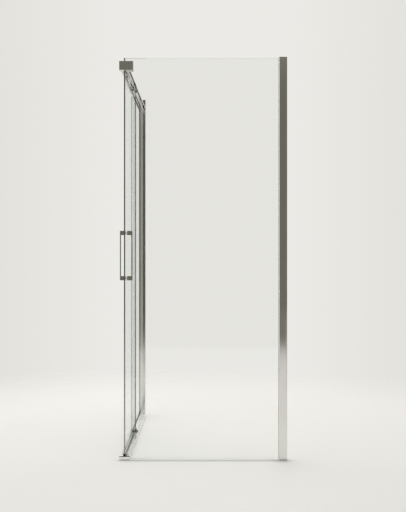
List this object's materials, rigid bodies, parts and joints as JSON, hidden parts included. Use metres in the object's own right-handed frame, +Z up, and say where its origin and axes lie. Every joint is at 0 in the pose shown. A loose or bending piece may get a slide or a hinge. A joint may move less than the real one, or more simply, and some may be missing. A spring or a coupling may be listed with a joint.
{
  "type": "sliding-door shower enclosure",
  "caption": "Corner shower enclosure: fixed glass side panel, fixed front pane and a sliding glass leaf hung on rollers from a low arched rail, with wall profiles, sill and bar handle.",
  "frame": {"origin": "middle of the footprint's bounding rectangle, on the floor", "axes": "+X along the side panel towards its wall, +Y along the front away from the open corner to the end wall, +Z up"},
  "size_m": [0.8166, 1.211, 1.95],
  "materials": {
    "side_pane": "clear",
    "fixed_pane": "clear",
    "door_pane": "clear",
    "wall_channel": "satin",
    "side_profile": "polished",
    "front_profile": "polished",
    "gasket": "clear vinyl",
    "cap": "matte",
    "screw": "satin",
    "edge_profile": "polished",
    "edge_magnet": "matte",
    "clear_seal": "clear",
    "edge_seal": "grey vinyl",
    "lip_seal": "smoked vinyl",
    "sweep_seal": "smoked vinyl",
    "rail": "polished",
    "corner_block": "polished",
    "pad": "matte",
    "bracket": "cast",
    "stop": "matte",
    "buffer": "matte",
    "sill": "satin",
    "foot": "satin",
    "guide": "matte",
    "hanger": "satin",
    "clamp": "satin",
    "bolt": "satin",
    "slider": "nylon",
    "handle": "polished",
    "washer": "clear",
    "roller": "nylon",
    "bearing": "satin"
  },
  "bodies": {
    "frame": {"side_glass": "side_pane", "side_wall_channel": "wall_channel", "side_glass_profile": "side_profile", "side_gaskets": "gasket", "side_profile_cap": "cap", "side_profile_screws": "screw", "side_edge_profile": "edge_profile", "side_edge_magnet": "edge_magnet", "side_floor_seal": "clear_seal", "fixed_glass": "fixed_pane", "front_wall_channel": "wall_channel", "front_glass_profile": "front_profile", "front_gaskets": "gasket", "front_profile_cap": "cap", "front_profile_screws": "screw", "fixed_edge_seal": "edge_seal", "top_rail": "rail", "rail_gaskets": "gasket", "rail_end_block": "corner_block", "block_pads": "pad", "block_screws": "screw", "rail_wall_bracket": "bracket", "rail_bracket_screws": "screw", "closing_stop": "stop", "opening_stop": "stop", "stop_buffers": "buffer", "stop_screws": "screw", "sill": "sill", "sill_gaskets": "gasket", "corner_foot": "foot", "setting_blocks": "pad", "corner_guide": "guide", "bottom_guide": "guide", "guide_screws": "screw"},
    "leaf": {"door_glass": "door_pane", "door_leading_seal": "clear_seal", "door_trailing_seal": "lip_seal", "door_bottom_seal": "sweep_seal", "front_hanger": "hanger", "rear_hanger": "hanger", "front_clamp_plate": "clamp", "rear_clamp_plate": "clamp", "hanger_pads": "pad", "hanger_bolts": "bolt", "hanger_nuts": "bolt", "roller_axles": "bolt", "anti_lift_sliders": "slider", "stop_catches": "stop", "handle_outer": "handle", "handle_inner": "handle", "handle_bolts": "bolt", "handle_washers": "washer"},
    "roller_1": {"roller_1": "roller", "bearing_1": "bearing"},
    "roller_2": {"roller_2": "roller", "bearing_2": "bearing"},
    "roller_3": {"roller_3": "roller", "bearing_3": "bearing"},
    "roller_4": {"roller_4": "roller", "bearing_4": "bearing"}
  },
  "joints": [
    {"name": "door_slide", "type": "slide", "parent": "frame", "child": "leaf", "axis": [0, 1, 0], "range_m": [0, 0.45]},
    {"name": "roller_1_spin", "type": "hinge", "parent": "leaf", "child": "roller_1", "pos_m": [-0.36665, -0.4655, 1.9025], "axis": [1, 0, 0], "range_deg": [-2600, 0]},
    {"name": "roller_2_spin", "type": "hinge", "parent": "leaf", "child": "roller_2", "pos_m": [-0.36665, -0.3815, 1.9025], "axis": [1, 0, 0], "range_deg": [-2600, 0]},
    {"name": "roller_3_spin", "type": "hinge", "parent": "leaf", "child": "roller_3", "pos_m": [-0.36665, -0.1365, 1.9025], "axis": [1, 0, 0], "range_deg": [-2600, 0]},
    {"name": "roller_4_spin", "type": "hinge", "parent": "leaf", "child": "roller_4", "pos_m": [-0.36665, -0.0525, 1.9025], "axis": [1, 0, 0], "range_deg": [-2600, 0]}
  ],
  "couplings": [
    {"joint": "roller_1_spin", "follows": "door_slide", "rad_per_m": -100},
    {"joint": "roller_2_spin", "follows": "door_slide", "rad_per_m": -100},
    {"joint": "roller_3_spin", "follows": "door_slide", "rad_per_m": -100},
    {"joint": "roller_4_spin", "follows": "door_slide", "rad_per_m": -100}
  ]
}
